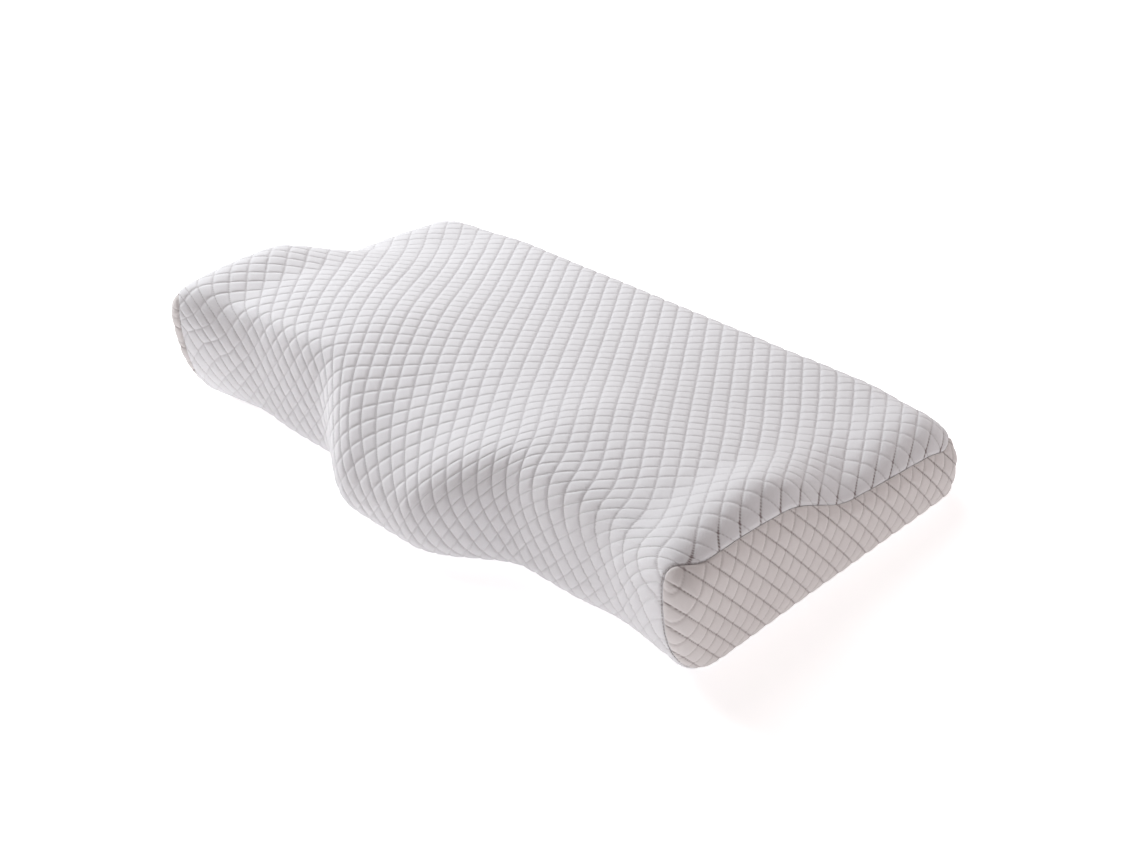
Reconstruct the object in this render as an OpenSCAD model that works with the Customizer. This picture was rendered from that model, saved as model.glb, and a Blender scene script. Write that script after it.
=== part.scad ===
// Contour bed pillow: a moulded foam core in a knit liner, inside a quilted zip cover.
// X runs along the sleeper's shoulders, -Y is the neck edge, +Y the zip edge, +Z up.
// The origin is at the middle of the footprint, on the surface the pillow lies on. Units are mm.

/* [Outline] */
// length over the cover, end to end
length = 600; // [480:10:700]
// from the middle to the straight zip edge
back_depth = 182; // [160:1:200]
// from the middle to the hollows either side of the neck lobe
bay_depth = 147; // [130:1:160]
// how far the neck lobe stands ahead of the hollows
lobe = 38; // [10:1:50]
// how far the wing tips stand ahead of the hollows
wing_tip = 20; // [0:1:30]
// how far the back corners sweep forward of the zip edge
back_sweep = 18; // [0:1:30]
// plan radius of the front corners
front_corner = 18; // [10:1:35]
// plan radius of the back corners
back_corner = 33; // [15:1:45]

/* [Heights] */
// height of the shoulder ridge on each wing
ridge_height = 113; // [95:1:130]
// extra height of the ridge toward the ends
ridge_end_rise = 27; // [0:1:35]
// fall of the ridge toward the neck edge
ridge_front_fall = 10; // [0:1:20]
// height of the flat behind the ridge
plateau_height = 78; // [60:1:90]
// height of the top at the zip edge, before the edge is rounded
zip_edge_height = 70; // [55:1:80]
// depth of the neck scoop in the middle of the ridge
neck_scoop = 17; // [0:1:30]

/* [Edges] */
// rounding width where the top runs down to each end
end_round = 70; // [40:1:90]
// rounding width of the top along the wings' front edge
wing_round = 24; // [12:1:40]
// rounding width of the top along the neck lobe
lobe_round = 76; // [40:1:90]
// rounding width of the top along the zip edge
zip_round = 40; // [20:1:50]
// rounding width of the underside along the neck edge
under_front = 50; // [30:1:60]
// rounding width of the underside along the ends
under_end = 26; // [15:1:35]
// rounding width of the underside along the zip edge
under_back = 16; // [10:1:25]

/* [Layers] */
// thickness of the quilted cover
cover_thickness = 4; // [3:0.5:6]
// room between cover and liner, where the zip tape lies
tape_room = 1.4; // [1.4:0.1:3]
// thickness of the knit liner
liner_thickness = 1; // [0.6:0.1:1.5]
// room between liner and foam
core_room = 0.4; // [0.3:0.1:1]
// inset of the end seams from the ends
seam_inset = 5; // [3:0.5:12]
// extra seam inset where it turns down the corners
corner_inset = 16; // [0:1:20]
// extra seam inset along the underside
under_inset = 11; // [0:1:16]
// radius of the stitched seam ridge
seam_radius = 1.1; // [0.8:0.1:1.5]

/* [Zip] */
// half the length of the zip opening
zip_half = 186; // [150:1:186]
// radius of one coil row
coil_radius = 1.15; // [0.9:0.05:1.3]
// length of the slider
slider_length = 11; // [9:0.5:14]
// length of the pull tab past its hinge
pull_length = 24; // [16:1:32]

/* [Hidden] */
half = length / 2;
lobe_from = 33;
lobe_to = 120;
tip_from = 194;
sweep_from = 190;
// depth lines of the top, from the middle of the footprint
ridge_back_y = -91;
ridge_back_end_y = -59;
plateau_y = 102;
plateau_end_y = 15;
ridge_fall_y = -76;
ridge_fall_run = 80;
slope_from_y = 84;
slope_run = 80;
end_from = 228;
plateau_end_rise = 13.5;
scoop_from = 14;
scoop_to = 125;
scoop_run = 245;
scoop_back = 2.5;
// height of the widest line of the wall
nose_front = 35;
nose_front_end = 88;
nose_back = 37;
nose_end_from = 160;
nose_run = 330;
under_front_end = 58;
lobe_spread = 80;
// superellipse powers of the rounded edges
end_power = 2.2;
front_power = 2.7;
zip_power = 1.7;
under_end_power = 2.55;
under_power = 2.6;
// loop round one section: under the front, over the top, down to the zip, along the underside
front_seam_s = 0.1;
front_seam_gap = 0.004;
hem_step = 0.35;
under_front_steps = 5;
top_steps = 21;
under_steps = top_steps - under_front_steps;
main_last = under_front_steps + top_steps;
loop_count = main_last + under_steps + 1;
// stations along the length
main_steps = 38;
end_steps = 4;
station_last = main_steps + 2 * end_steps;
end_stop = 0.012;
corner_reach = 12;
// layers, as depths below the cover's outer face
seam_gap = 2.8;
seam_sink = 0.6;
seam_end_gap = 2.8;
liner_out = cover_thickness + tape_room;
liner_in = liner_out + liner_thickness;
core_out = liner_in + core_room;
fit_gap = 0.3;
// zip opening and its parts
slot_half = 5.5;
slot_lean = 1.1;
slot_closed = 0.5;
slot_lead = 8;
slot_taper = 8;
tape_thickness = 0.8;
tape_out = cover_thickness + fit_gap;
tape_reach = 3.5;
tape_lower_share = 0.5;
coil_y = back_depth - 3.1;
coil_z = 1.85;
coil_half = zip_half - 2;
stop_length = 2.2;
stop_wall = 0.6;
stop_gap = 0.05;
plate_front = back_depth - 0.45;
plate_thickness = 1.2;
plate_half = 4.6;
back_plate_front = back_depth - 4.55;
back_plate_thickness = 0.55;
back_plate_half = 3;
post_thickness = 0.8;
post_length = 6;
slider_x = coil_half - stop_length - fit_gap - slider_length / 2;
bridge_length = 7;
bridge_height = 3.2;
bridge_wall = 1;
bridge_half = 1;
hinge_y = back_depth + 0.9;
pin_radius = 0.6;
arm_inner = 1.4;
arm_outer = 2.6;
tab_half = 3.5;
tab_thickness = 0.9;
eye_length = 7;
grip_radius = 2;
facets = 32;
cut = 0.5;

// 0 before a, 1 after b, smooth between
function smooth(a, b, t) =
    let (u = min(1, max(0, (t - a) / (b - a)))) u * u * (3 - 2 * u);
// rounded rise from 0 at the edge to 1 at the full rounding width
function rise(t, power) =
    let (u = min(1, max(0, t))) pow(1 - pow(1 - u, power), 1 / power);
function corner(x, radius) =
    let (u = min(1, max(0, (abs(x) - half + radius) / radius))) radius * (1 - sqrt(1 - u * u));

function front_y(x) =
    corner(x, front_corner) - bay_depth - lobe * (1 - smooth(lobe_from, lobe_to, abs(x)))
    - wing_tip * smooth(tip_from, half, abs(x));
function back_y(x) =
    back_depth - back_sweep * smooth(sweep_from, half, abs(x)) - corner(x, back_corner);
function end_part(x) = smooth(end_from, half, abs(x));

// height of the top before its edges are rounded
function open_top(x, y) =
    let (e = end_part(x),
         y0 = ridge_back_y + (ridge_back_end_y - ridge_back_y) * e,
         y1 = plateau_y + (plateau_end_y - plateau_y) * e,
         low = plateau_height + plateau_end_rise * e
             + (zip_edge_height - plateau_height) * max(0, (y - slope_from_y) / slope_run),
         fall = min(2, max(0, (ridge_fall_y - y) / ridge_fall_run)),
         high = ridge_height + ridge_end_rise * e - ridge_front_fall * fall * fall,
         ridge = 1 - smooth(y0, y1, y),
         middle = 1 - smooth(scoop_from, scoop_to, abs(x)),
         near = 1 - smooth(0, scoop_run, y - front_y(x)))
    low + (high - low) * ridge - middle * (neck_scoop * near + scoop_back * ridge);

// height of the widest line of the wall
function nose_z(x, y) =
    let (front = nose_front + (nose_front_end - nose_front) * smooth(nose_end_from, half, abs(x)))
    nose_back + (front - nose_back) * smooth(0, nose_run, back_depth - back_sweep - y);

function top_z(x, y) =
    let (centre = exp(-pow(x / lobe_spread, 2)),
         front_round = wing_round + (lobe_round - wing_round) * centre,
         nose = nose_z(x, y),
         share = rise((half - abs(x)) / end_round, end_power)
               * rise((y - front_y(x)) / front_round, front_power)
               * rise((back_y(x) - y) / zip_round, zip_power))
    nose + (open_top(x, y) - nose) * share;

function under_z(x, y) =
    let (e = smooth(nose_end_from, half, abs(x)),
         front_width = under_front + (under_front_end - under_front) * e,
         share = rise((half - abs(x)) / under_end, under_end_power)
               * rise((y - front_y(x)) / front_width, under_power)
               * rise((back_y(x) - y) / under_back, under_power))
    nose_z(x, y) * (1 - share);

// half height of the zip opening, which closes beyond the ends of the zip
function slot(x) =
    let (past = smooth(zip_half + slot_lead, zip_half + slot_lead + slot_taper, abs(x)))
    slot_closed + (slot_half - slot_closed) * (1 - past);

// position across the depth of loop point j, 0 at the front and 1 at the back
function across(j) =
    j < under_front_steps
    ? (front_seam_s - front_seam_gap) * pow(1 - j / under_front_steps, 2)
    : j <= main_last
    ? (1 - cos(180 * (j - under_front_steps) / (top_steps + hem_step))) / 2
    : 1 - (1 - front_seam_s - front_seam_gap) * (1 - cos(180 * (j - main_last - 1) / under_steps)) / 2;
// how far along the length the end seam lies at s, on the top or the underside
function seam_at(s, over) =
    let (d = min(s, 1 - s) * (back_depth + bay_depth + wing_tip),
         near = exp(-pow(d / corner_reach, 2)))
    half - seam_inset - corner_inset * near - (over ? 0 : under_inset * (1 - near));

// station i: the end panels' rings lie outside the main stations
function main_share(k) =
    let (t = 2 * k / main_steps - 1) 0.45 * t + 0.55 * sin(90 * t);
function end_share(k) =
    max(end_stop, pow(1 - k / end_steps, 2));
function station_x(i, s, over, gap) =
    let (seam = seam_at(s, over), left = end_steps, right = end_steps + main_steps)
    i < left ? -half + (half - seam + gap) * end_share(left - i)
    : i > right ? half - (half - seam + gap) * end_share(i - right)
    : main_share(i - left) * (seam - gap);

// a point of the pillow's surface at station i and loop point j, sunk by depth d
function skin(i, j, d, gap = 0) =
    let (s = across(j),
         top = j >= under_front_steps && j <= main_last,
         x = station_x(i, s, top, gap),
         f = front_y(x), b = back_y(x),
         open = d < liner_out ? slot(x) : slot_closed,
         hem = (j == main_last || j == main_last + 1) ? open : 0,
         lean = j == main_last ? slot_lean * open / slot_half : 0,
         y = hem > 0 ? b - lean : f + (b - f) * s,
         z = j == main_last ? nose_z(x, y) + hem
           : j == main_last + 1 ? nose_z(x, y) - hem
           : top ? top_z(x, y) : under_z(x, y),
         full = max(open_top(x, y), 2 * nose_back),
         middle = (back_depth - bay_depth) / 2,
         reach = (back_depth + bay_depth) / 2)
    [x * (half - d) / half, middle + (y - middle) * (reach - d) / reach, d + z * (full - 2 * d) / full];

// two triangles of a quad, dropping one whose first two corners are the same
function quad(a, b, c, d) = a == b ? [[a, d, c]] : [[a, c, b], [a, d, c]];

// a sheet from station i0 to i1 and loop point j0 to j1, between two depths
module sheet(i0, i1, j0, j1, outer, inner, gap) {
    ni = i1 - i0 + 1;
    nj = j1 - j0 + 1;
    n = ni * nj;
    points = [for (d = [outer, inner]) for (i = [i0:i1]) for (j = [j0:j1]) skin(i, j, d, gap)];
    faces = [
        for (i = [0:ni - 2]) for (j = [0:nj - 2]) for (t = quad(i * nj + j, (i + 1) * nj + j,
            (i + 1) * nj + j + 1, i * nj + j + 1)) t,
        for (i = [0:ni - 2]) for (j = [0:nj - 2]) for (t = quad(n + i * nj + j, n + i * nj + j + 1,
            n + (i + 1) * nj + j + 1, n + (i + 1) * nj + j)) t,
        for (i = [0:ni - 2]) for (t = quad(i * nj, n + i * nj, n + (i + 1) * nj, (i + 1) * nj)) t,
        for (i = [0:ni - 2]) for (t = quad((i + 1) * nj - 1, (i + 2) * nj - 1,
            n + (i + 2) * nj - 1, n + (i + 1) * nj - 1)) t,
        for (j = [0:nj - 2]) for (t = quad(j, j + 1, n + j + 1, n + j)) t,
        for (j = [0:nj - 2]) for (t = quad(n - nj + j, n + n - nj + j,
            n + n - nj + j + 1, n - nj + j + 1)) t];
    polyhedron(points, faces, convexity = 6);
}

// the loop point under top point k, counted from the front nose
function facing(k) = (under_front_steps - k + loop_count) % loop_count;

// faces of a closed tube of rings, with the ring at either end closed where asked
function tube_faces(rings, base, flip, close_first, close_last) =
    let (m = loop_count,
         sides = [for (i = [0:rings - 2]) for (j = [0:m - 1]) for (t = quad(base + i * m + j,
             base + (i + 1) * m + j, base + (i + 1) * m + (j + 1) % m, base + i * m + (j + 1) % m)) t],
         first = close_first ? cap_faces(base) : [],
         last = close_last ? [for (t = cap_faces(base + (rings - 1) * m)) [t[2], t[1], t[0]]] : [],
         all = concat(sides, first, last))
    flip ? [for (t = all) [t[2], t[1], t[0]]] : all;
function cap_faces(base) =
    [for (k = [0:top_steps - 1]) for (t = quad(base + facing(k), base + under_front_steps + k,
        base + under_front_steps + k + 1, base + facing(k + 1))) t];
function rings(i0, i1, d, gap) = [for (i = [i0:i1]) for (j = [0:loop_count - 1]) skin(i, j, d, gap)];

// a closed body with its ends closed
module solid_body(d) {
    polyhedron(rings(0, station_last, d, 0), tube_faces(station_last + 1, 0, false, true, true));
}

// a thin case closed all round but for the slit of its sewn seam along the back
module case_skin(outer, inner) {
    m = loop_count;
    rows = station_last + 1;
    n = rows * m;
    points = concat(rings(0, station_last, outer, 0), rings(0, station_last, inner, 0));
    wall = concat(tube_faces(rows, 0, false, true, true), tube_faces(rows, n, true, true, true));
    kept = [for (t = wall) if (!in_slit(t)) t];
    upper = [for (i = [0:rows - 2]) for (t = quad(i * m + main_last, (i + 1) * m + main_last,
        n + (i + 1) * m + main_last, n + i * m + main_last)) [t[2], t[1], t[0]]];
    lower = [for (i = [0:rows - 2]) for (t = quad(i * m + main_last + 1, (i + 1) * m + main_last + 1,
        n + (i + 1) * m + main_last + 1, n + i * m + main_last + 1)) t];
    left = quad(main_last, main_last + 1, n + main_last + 1, n + main_last);
    last = n - m + main_last;
    right = quad(last + 1, last, n + last, n + last + 1);
    polyhedron(points, concat(kept, upper, lower, left, right));
}
// a wall triangle that spans the two sides of the slit, from one station to the next
function in_slit(t) =
    let (near = [for (v = t) if (v % loop_count == main_last || v % loop_count == main_last + 1) 1],
         rows = [for (v = t) floor(v / loop_count)])
    len(near) == 3 && max(rows) > min(rows);

// an end panel: a cap closed at its outer ring and open toward the main panel
module end_panel(i0, i1, closed_first) {
    m = loop_count;
    count = i1 - i0 + 1;
    n = count * m;
    open_ring = closed_first ? (count - 1) * m : 0;
    points = concat(rings(i0, i1, 0, -seam_gap / 2), rings(i0, i1, cover_thickness, -seam_gap / 2));
    rim = [for (j = [0:m - 1]) for (t = quad(open_ring + j, open_ring + (j + 1) % m,
        n + open_ring + (j + 1) % m, n + open_ring + j)) closed_first ? [t[2], t[1], t[0]] : t];
    faces = concat(tube_faces(count, 0, false, closed_first, !closed_first),
                   tube_faces(count, n, true, closed_first, !closed_first), rim);
    polyhedron(points, faces);
}

// a round ridge of thread along a row of points, in the plane of the two directions at each
module thread(path, side, up, closed) {
    sides = 6;
    count = len(path);
    last = closed ? count - 1 : count - 2;
    points = [for (k = [0:count - 1]) for (a = [0:sides - 1]) path[k]
        + seam_radius * (cos(a * 360 / sides) * side[k] + sin(a * 360 / sides) * up[k])];
    body = [for (k = [0:last]) for (a = [0:sides - 1]) for (t = quad(k * sides + a,
        ((k + 1) % count) * sides + a, ((k + 1) % count) * sides + (a + 1) % sides,
        k * sides + (a + 1) % sides)) t];
    ends = closed ? [] : [[for (a = [sides - 1:-1:0]) a],
                          [for (a = [0:sides - 1]) (count - 1) * sides + a]];
    polyhedron(points, concat(body, ends));
}

function unit(v) = v / norm(v);

// the seam that joins an end panel, round the whole end
module end_seam(i) {
    path = [for (j = [0:loop_count - 1]) skin(i, j, seam_sink)];
    side = [for (j = [0:loop_count - 1]) [1, 0, 0]];
    up = [for (j = [0:loop_count - 1])
        let (v = path[(j + 1) % loop_count] - path[(j + loop_count - 1) % loop_count])
        unit(cross([1, 0, 0], [0, v[1], v[2]]))];
    thread(path, side, up, true);
}

module foam_core() {
    color([0.96, 0.93, 0.84])
    solid_body(core_out);
}

module core_liner() {
    color([0.95, 0.95, 0.94])
    case_skin(liner_out, liner_in);
}

module cover_top() {
    color([0.93, 0.93, 0.94])
    sheet(end_steps, end_steps + main_steps, 0, main_last, 0, cover_thickness, seam_gap / 2);
}

module cover_bottom() {
    color([0.9, 0.9, 0.91])
    sheet(end_steps, end_steps + main_steps, main_last + 1, loop_count, 0, cover_thickness,
        seam_gap / 2);
}

module end_panel_left() {
    color([0.88, 0.86, 0.86])
    end_panel(0, end_steps, true);
}

module end_panel_right() {
    color([0.88, 0.86, 0.86])
    end_panel(end_steps + main_steps, station_last, false);
}

module end_seam_left() {
    color([0.55, 0.52, 0.55])
    end_seam(end_steps);
}

module end_seam_right() {
    color([0.55, 0.52, 0.55])
    end_seam(end_steps + main_steps);
}

// the seam under the neck edge, where the main panel meets the underside
module front_seam() {
    color([0.55, 0.52, 0.55])
    {
        steps = [end_steps:end_steps + main_steps];
        path = [for (i = steps) (skin(i, 0, seam_sink, seam_end_gap)
            + skin(i, loop_count, seam_sink, seam_end_gap)) / 2];
        side = [for (i = steps) unit(skin(i, loop_count, 0) - skin(i, 0, 0))];
        up = [for (k = [0:len(path) - 1])
            unit(cross(side[k], path[min(k + 1, len(path) - 1)] - path[max(k - 1, 0)]))];
        thread(path, side, up, false);
    }
}

// a section swept along X, its points given as [y, z]
module along_x(half_length, section) {
    rotate([90, 0, 90])
    linear_extrude(2 * half_length, center = true)
    polygon(section);
}

function yz(p) = [p[1], p[2]];
mid = end_steps + main_steps / 2;

// one tape, given where its hidden part runs: its other edge reaches to the coil
module zip_tape(front, back, sign) {
    edge_z = nose_back + sign * (coil_z + coil_radius + fit_gap);
    along_x(coil_half, concat([[back_depth - tape_reach, edge_z]], front,
        [for (k = [len(back) - 1:-1:0]) back[k]],
        [[back_depth - tape_reach - tape_thickness, edge_z]]));
}

function upper_run(d) = [for (j = [main_last:-1:main_last - 2]) yz(skin(mid, j, d))];
function lower_run(d) =
    let (hem = yz(skin(mid, main_last + 1, d)), next = yz(skin(mid, main_last + 2, d)))
    [hem, hem + tape_lower_share * (next - hem)];

module zip_tape_upper() {
    color([0.85, 0.85, 0.86])
    zip_tape(upper_run(tape_out), upper_run(tape_out + tape_thickness), 1);
}

module zip_tape_lower() {
    color([0.85, 0.85, 0.86])
    zip_tape(lower_run(tape_out), lower_run(tape_out + tape_thickness), -1);
}

module zip_coil(sign) {
    translate([0, coil_y, nose_back + sign * coil_z])
    rotate([0, 90, 0])
    cylinder(r = coil_radius, h = 2 * coil_half, center = true, $fn = facets);
}

module zip_coil_upper() {
    color([0.97, 0.97, 0.97])
    zip_coil(1);
}

module zip_coil_lower() {
    color([0.97, 0.97, 0.97])
    zip_coil(-1);
}

// a box given by its low and high corners
module box(low, high) {
    translate(low)
    cube(high - low);
}

stop_front = coil_y + coil_radius + stop_gap + stop_wall;
stop_back = coil_y - coil_radius - stop_gap - stop_wall;
stop_top = coil_z + coil_radius;
web_half = coil_z - coil_radius - stop_gap;

// a crimp round one coil, open toward its tape
module coil_crimp(x0, x1, sign) {
    low = stop_gap * 3;
    z_low = nose_back + (sign > 0 ? low : -stop_top);
    z_high = nose_back + (sign > 0 ? stop_top : -low);
    open_low = nose_back + (sign > 0 ? web_half : -stop_top - cut);
    open_high = nose_back + (sign > 0 ? stop_top + cut : -web_half);
    difference() {
        box([x0, stop_back, z_low], [x1, stop_front, z_high]);
        box([x0 - cut, stop_back + stop_wall, open_low], [x1 + cut, stop_front - stop_wall, open_high]);
    }
}

module zip_top_stops() {
    color([0.8, 0.8, 0.8])
    for (sign = [-1, 1])
        coil_crimp(coil_half - stop_length, coil_half, sign);
}

// one crimp across both coils at the open end
module zip_bottom_stop() {
    color([0.8, 0.8, 0.8])
    difference() {
        box([-coil_half, stop_back, nose_back - stop_top],
            [-coil_half + stop_length, stop_front, nose_back + stop_top]);
        for (sign = [-1, 1])
            translate([-coil_half - cut, stop_back + stop_wall, nose_back])
            mirror([0, 0, sign < 0 ? 1 : 0])
            translate([0, 0, web_half])
            cube([stop_length + 2 * cut, stop_front - stop_back - 2 * stop_wall, stop_top]);
    }
}

// two plates joined by a post between the coils, and a bridge that holds the pull
module zip_slider() {
    color([0.82, 0.82, 0.83])
    translate([slider_x, 0, nose_back])
    difference() {
        union() {
            box([-slider_length / 2, plate_front - plate_thickness, -plate_half],
                [slider_length / 2, plate_front, plate_half]);
            box([-slider_length / 2, back_plate_front - back_plate_thickness, -back_plate_half],
                [slider_length / 2, back_plate_front, back_plate_half]);
            box([-post_length / 2, back_plate_front - cut / 2, -post_thickness / 2],
                [post_length / 2, plate_front - cut, post_thickness / 2]);
            box([-bridge_length / 2, plate_front - cut, -bridge_half],
                [bridge_length / 2, plate_front + bridge_height, bridge_half]);
        }
        box([-bridge_length / 2 + bridge_wall, plate_front, -bridge_half - cut],
            [bridge_length / 2 - bridge_wall, plate_front + bridge_height - bridge_wall,
                bridge_half + cut]);
    }
}

// the pull lies along the coil and turns about the bar under the bridge
module zip_pull() {
    color([0.84, 0.84, 0.85])
    translate([slider_x, hinge_y, nose_back])
    difference() {
        union() {
            cylinder(r = pin_radius, h = 2 * arm_outer, center = true, $fn = facets);
            for (sign = [-1, 1])
                translate([-eye_length / 2, 0, sign * (arm_inner + arm_outer) / 2])
                cube([eye_length, tab_thickness, arm_outer - arm_inner], center = true);
            box([-pull_length + tab_half, -tab_thickness / 2, -tab_half],
                [-eye_length + arm_inner / 2, tab_thickness / 2, tab_half]);
            translate([-pull_length + tab_half, 0, 0])
            rotate([90, 0, 0])
            cylinder(r = tab_half, h = tab_thickness, center = true, $fn = facets);
        }
        translate([-pull_length + tab_half, 0, 0])
        rotate([90, 0, 0])
        cylinder(r = grip_radius, h = 2 * tab_thickness, center = true, $fn = facets);
    }
}

foam_core();
core_liner();
cover_top();
cover_bottom();
end_panel_left();
end_panel_right();
end_seam_left();
end_seam_right();
front_seam();
zip_tape_upper();
zip_tape_lower();
zip_coil_upper();
zip_coil_lower();
zip_top_stops();
zip_bottom_stop();
zip_slider();
zip_pull();
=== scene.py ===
import math

import bpy
import numpy as np
from mathutils import Matrix, Vector


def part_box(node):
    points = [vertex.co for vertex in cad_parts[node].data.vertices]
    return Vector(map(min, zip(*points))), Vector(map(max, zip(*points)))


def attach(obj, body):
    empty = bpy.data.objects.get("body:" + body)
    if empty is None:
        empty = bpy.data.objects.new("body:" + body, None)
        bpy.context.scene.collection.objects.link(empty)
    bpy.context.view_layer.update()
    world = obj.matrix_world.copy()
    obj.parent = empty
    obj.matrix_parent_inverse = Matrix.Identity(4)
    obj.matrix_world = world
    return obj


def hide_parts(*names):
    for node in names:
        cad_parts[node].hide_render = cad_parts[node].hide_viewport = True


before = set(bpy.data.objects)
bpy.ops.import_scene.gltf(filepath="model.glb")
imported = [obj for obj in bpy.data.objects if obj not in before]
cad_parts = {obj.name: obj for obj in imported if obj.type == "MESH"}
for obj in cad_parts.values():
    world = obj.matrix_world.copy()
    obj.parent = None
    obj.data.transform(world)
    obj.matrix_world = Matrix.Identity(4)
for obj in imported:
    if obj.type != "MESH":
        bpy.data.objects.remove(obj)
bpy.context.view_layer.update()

# ---------------------------------------------------------------- dimensions
# The pillow's own dimensions, in millimetres, as part.scad names them.
MM = 0.001
HALF = 300.0
BACK_DEPTH = 182.0
BAY_DEPTH = 147.0
LOBE = 38.0
LOBE_FROM, LOBE_TO = 33.0, 120.0
WING_TIP, TIP_FROM = 20.0, 194.0
BACK_SWEEP, SWEEP_FROM = 18.0, 190.0
FRONT_CORNER, BACK_CORNER = 18.0, 33.0
RIDGE_HEIGHT, RIDGE_END_RISE = 113.0, 27.0
RIDGE_FRONT_FALL, RIDGE_FALL_Y, RIDGE_FALL_RUN = 10.0, -76.0, 80.0
RIDGE_BACK_Y, RIDGE_BACK_END_Y = -91.0, -59.0
PLATEAU_Y, PLATEAU_END_Y = 102.0, 15.0
PLATEAU_HEIGHT, PLATEAU_END_RISE = 78.0, 13.5
ZIP_EDGE_HEIGHT, SLOPE_FROM_Y, SLOPE_RUN = 70.0, 84.0, 80.0
END_FROM = 228.0
NECK_SCOOP, SCOOP_BACK = 17.0, 2.5
SCOOP_FROM, SCOOP_TO, SCOOP_RUN = 14.0, 125.0, 245.0
NOSE_FRONT, NOSE_FRONT_END, NOSE_BACK = 35.0, 88.0, 37.0
NOSE_END_FROM, NOSE_RUN = 160.0, 330.0
END_ROUND, WING_ROUND, LOBE_ROUND, ZIP_ROUND = 70.0, 24.0, 76.0, 40.0
UNDER_FRONT, UNDER_FRONT_END, UNDER_END, UNDER_BACK = 50.0, 58.0, 26.0, 16.0
LOBE_SPREAD = 80.0
END_POWER, FRONT_POWER, ZIP_POWER = 2.2, 2.7, 1.7
UNDER_END_POWER, UNDER_POWER = 2.55, 2.6
FRONT_SEAM_S = 0.1
SEAM_INSET, CORNER_INSET, CORNER_REACH = 5.0, 16.0, 12.0
UNDER_INSET = 11.0
SLOT_HALF, SLOT_CLOSED, SLOT_LEAN = 5.5, 0.5, 1.1
SLOT_FROM, SLOT_TO = 188.0, 199.0
COVER_THICKNESS = 4.0
LINER_OUT, LINER_IN, CORE_OUT = 5.4, 6.4, 6.8
MIDDLE_Y = (BACK_DEPTH - BAY_DEPTH) / 2
REACH_Y = (BACK_DEPTH + BAY_DEPTH) / 2
WHOLE_DEPTH = BACK_DEPTH + BAY_DEPTH + WING_TIP

# Quilting: a cell is a rhombus. These are nodes to a cell's diagonal, and cells along each side.
CELL_NODES = 10
CELLS_ALONG, CELLS_ACROSS = 35, 23
NODE_START = (0, 0)
ROW_LENGTH = 20.5
ROW_CLEAR = 55.0
# How far the quilting is pulled out of square over the core, in cells, and how near the end seams that fades.
PULL_SLANT, PULL_FADE = 1.15, 5.0
# Its sideways drift down the neck edge, in cells, and how far back from that edge this fades, in millimetres.
DRIFT_START, DRIFT_RISE, DRIFT_FALL, DRIFT_DEPTH = -0.75, 2.4, 1.3, 18.0
DRIFT_LOW = 0.0055
PUFF = 1.3
PUFF_MEAN = 0.66
WEAK_DEPTH = 0.8
END_CELL_Y, END_CELL_Z, END_SLANT = 16.0, 21.5, 0.0066
END_PUFF = 1.35
END_COLUMNS, END_ROWS = 340, 56
SEAM_GAP = 0.1
SEAM_SINK, SEAM_FOLD = 0.35, 1.3
SEAM_ROLL = 2.6


# ------------------------------------------------------------------- surface
def smooth(a, b, t):
    u = np.clip((t - a) / (b - a), 0, 1)
    return u * u * (3 - 2 * u)


def rise(t, power):
    u = np.clip(t, 0, 1)
    return (1 - (1 - u) ** power) ** (1 / power)


def corner(x, radius):
    u = np.clip((np.abs(x) - HALF + radius) / radius, 0, 1)
    return radius * (1 - np.sqrt(1 - u * u))


def front_y(x):
    ax = np.abs(x)
    return (
        corner(x, FRONT_CORNER)
        - BAY_DEPTH
        - LOBE * (1 - smooth(LOBE_FROM, LOBE_TO, ax))
        - WING_TIP * smooth(TIP_FROM, HALF, ax)
    )


def back_y(x):
    return BACK_DEPTH - BACK_SWEEP * smooth(SWEEP_FROM, HALF, np.abs(x)) - corner(x, BACK_CORNER)


def open_top(x, y):
    """Height of the top before its edges are rounded."""
    ax = np.abs(x)
    e = smooth(END_FROM, HALF, ax)
    y0 = RIDGE_BACK_Y + (RIDGE_BACK_END_Y - RIDGE_BACK_Y) * e
    y1 = PLATEAU_Y + (PLATEAU_END_Y - PLATEAU_Y) * e
    slope = np.maximum(0, (y - SLOPE_FROM_Y) / SLOPE_RUN)
    low = PLATEAU_HEIGHT + PLATEAU_END_RISE * e + (ZIP_EDGE_HEIGHT - PLATEAU_HEIGHT) * slope
    fall = np.clip((RIDGE_FALL_Y - y) / RIDGE_FALL_RUN, 0, 2)
    high = RIDGE_HEIGHT + RIDGE_END_RISE * e - RIDGE_FRONT_FALL * fall**2
    ridge = 1 - smooth(y0, y1, y)
    middle = 1 - smooth(SCOOP_FROM, SCOOP_TO, ax)
    near = 1 - smooth(0, SCOOP_RUN, y - front_y(x))
    return low + (high - low) * ridge - middle * (NECK_SCOOP * near + SCOOP_BACK * ridge)


def nose_z(x, y):
    """Height of the widest line of the wall."""
    front = NOSE_FRONT + (NOSE_FRONT_END - NOSE_FRONT) * smooth(NOSE_END_FROM, HALF, np.abs(x))
    return NOSE_BACK + (front - NOSE_BACK) * smooth(0, NOSE_RUN, BACK_DEPTH - BACK_SWEEP - y)


def sunk(x, y, z, top, depth):
    """A point of the outer face moved in by depth."""
    full = np.maximum(top, 2 * NOSE_BACK)
    return np.stack(
        [
            x * (HALF - depth) / HALF,
            MIDDLE_Y + (y - MIDDLE_Y) * (REACH_Y - depth) / REACH_Y,
            depth + z * (full - 2 * depth) / full,
        ],
        axis=-1,
    )


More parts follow.
